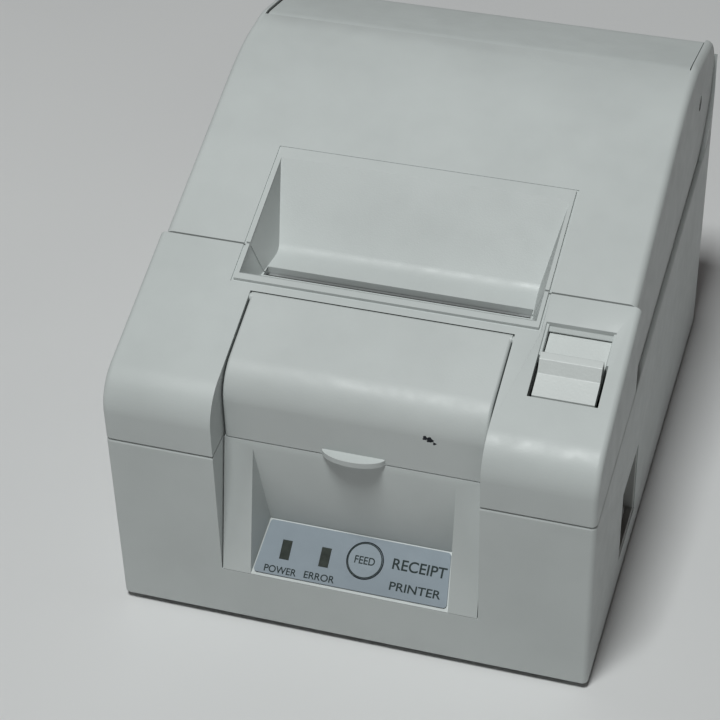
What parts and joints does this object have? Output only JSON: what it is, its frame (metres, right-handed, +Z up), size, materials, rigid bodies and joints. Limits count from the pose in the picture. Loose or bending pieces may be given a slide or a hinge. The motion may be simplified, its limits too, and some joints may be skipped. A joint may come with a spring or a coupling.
{
  "type": "receipt printer",
  "caption": "Compact drop-in receipt printer: pale casing with a hinged paper cover, recessed paper exit, front cover over the cutter, control niche, lever and side rocker.",
  "frame": {"origin": "middle of the footprint's box, on the surface that the rubber feet stand on", "axes": "+X to the printer's right seen from its front, +Y to its back, +Z up"},
  "size_m": [0.145, 0.192, 0.1251],
  "materials": {
    "casing": "moulded fine spark texture",
    "cover": "moulded fine spark texture",
    "bay_plastic": "satin",
    "label": "satin printed film",
    "light_window": "smoked",
    "key": "satin",
    "black_plastic": "satin",
    "switch_cup": "satin",
    "steel": "brushed",
    "zinc": "plated sheet",
    "motor_can": "drawn can",
    "platen_rubber": "ground",
    "foot_rubber": "moulded",
    "gear_plastic": "moulded acetal",
    "bearing": "moulded acetal",
    "ceramic": "glazed",
    "aluminium": "extruded",
    "board": "solder mask",
    "brass": "turned"
  },
  "bodies": {
    "root": {"lower_case": "casing", "base_plate": "zinc", "base_screws": "steel", "rubber_feet": "foot_rubber", "top_case": "casing", "rear_cover": "casing", "hinge_pins": "steel", "bezel": "casing", "control_label": "label", "power_light": "light_window", "error_light": "light_window", "panel_board": "board", "switch_housing": "switch_cup", "paper_bay": "bay_plastic", "mechanism_base": "zinc", "side_frame_right": "zinc", "side_frame_left": "zinc", "feed_motor": "motor_can", "gear_studs": "steel", "head_pivot_shaft": "steel", "spring_bar": "zinc", "cutter_guide": "bay_plastic", "cutter_motor": "motor_can", "main_board": "board", "board_posts": "brass", "connector_plate": "zinc", "power_inlet": "black_plastic", "interface_port": "black_plastic", "drawer_port": "black_plastic"},
    "paper_cover": {"paper_cover": "cover", "lid_liner": "bay_plastic", "fixed_blade": "steel", "platen_bearings": "bearing"},
    "platen": {"platen_shaft": "steel", "platen_rubber": "platen_rubber", "platen_gear": "gear_plastic"},
    "idler": {"idler_gear": "gear_plastic"},
    "reducer": {"reduction_gear": "gear_plastic"},
    "motor_shaft": {"motor_pinion": "brass"},
    "head": {"print_head": "ceramic", "heat_sink": "aluminium", "head_springs": "steel"},
    "cutter_blade": {"moving_blade": "steel", "blade_carriage": "gear_plastic"},
    "cutter_drive": {"cutter_shaft": "steel", "cutter_gear": "gear_plastic", "rack_pinions": "gear_plastic"},
    "cutter_motor_shaft": {"cutter_pinion": "brass"},
    "front_cover": {"front_cover": "cover"},
    "lock": {"lock_shaft": "steel", "lock_hooks": "steel"},
    "lever": {"open_lever": "cover"},
    "feed_key": {"feed_button": "key"},
    "rocker": {"power_rocker": "black_plastic"}
  },
  "joints": [
    {"name": "paper_cover_hinge", "type": "hinge", "parent": "root", "child": "paper_cover", "pos_m": [0, 0.0595, 0.1065], "axis": [-1, 0, 0], "range_deg": [0, 84]},
    {"name": "platen_spin", "type": "hinge", "parent": "paper_cover", "child": "platen", "pos_m": [0, -0.026, 0.0795], "axis": [1, 0, 0], "continuous": true},
    {"name": "idler_spin", "type": "hinge", "parent": "root", "child": "idler", "pos_m": [0, -0.01986, 0.06005], "axis": [1, 0, 0], "continuous": true},
    {"name": "reducer_spin", "type": "hinge", "parent": "root", "child": "reducer", "pos_m": [0, -0.03644, 0.05733], "axis": [1, 0, 0], "continuous": true},
    {"name": "feed_motor_spin", "type": "hinge", "parent": "root", "child": "motor_shaft", "pos_m": [0, -0.047, 0.0435], "axis": [1, 0, 0], "continuous": true},
    {"name": "head_pivot", "type": "hinge", "parent": "root", "child": "head", "pos_m": [0, -0.02599, 0.05988], "axis": [1, 0, 0], "range_deg": [0, 2], "stiffness_Nm_per_rad": 20, "deforming": ["head_springs"]},
    {"name": "blade_slide", "type": "slide", "parent": "root", "child": "cutter_blade", "axis": [0, 1, 0], "range_m": [0, 0.007]},
    {"name": "cutter_shaft_spin", "type": "hinge", "parent": "root", "child": "cutter_drive", "pos_m": [0, -0.054, 0.0785], "axis": [-1, 0, 0], "range_deg": [0, 84]},
    {"name": "cutter_motor_spin", "type": "hinge", "parent": "root", "child": "cutter_motor_shaft", "pos_m": [0, -0.06502, 0.07019], "axis": [1, 0, 0], "range_deg": [0, 192]},
    {"name": "front_cover_hinge", "type": "hinge", "parent": "root", "child": "front_cover", "pos_m": [0, -0.0577, 0.09486], "axis": [-1, 0, 0], "range_deg": [0, 60]},
    {"name": "lock_turn", "type": "hinge", "parent": "root", "child": "lock", "pos_m": [0, -0.042, 0.0635], "axis": [1, 0, 0], "range_deg": [0, 12], "stiffness_Nm_per_rad": 0.3},
    {"name": "lever_press", "type": "hinge", "parent": "root", "child": "lever", "pos_m": [0.0573, -0.0536, 0.0911], "axis": [1, 0, 0], "range_deg": [0, 19]},
    {"name": "feed_press", "type": "slide", "parent": "root", "child": "feed_key", "axis": [0, 0.5916, -0.8062], "range_m": [0, 0.0006], "stiffness_N_per_m": 1500},
    {"name": "power_rock", "type": "hinge", "parent": "root", "child": "rocker", "pos_m": [0.0666, -0.04, 0.025], "axis": [0, 1, 0], "range_deg": [0, 12]}
  ],
  "couplings": [
    {"joint": "idler_spin", "follows": "platen_spin", "ratio": -0.7},
    {"joint": "reducer_spin", "follows": "platen_spin", "ratio": 1.75},
    {"joint": "feed_motor_spin", "follows": "platen_spin", "ratio": -5.5},
    {"joint": "cutter_shaft_spin", "follows": "blade_slide", "rad_per_m": 208.33},
    {"joint": "cutter_motor_spin", "follows": "blade_slide", "rad_per_m": 476.19},
    {"joint": "lever_press", "follows": "lock_turn", "ratio": 1.54}
  ]
}
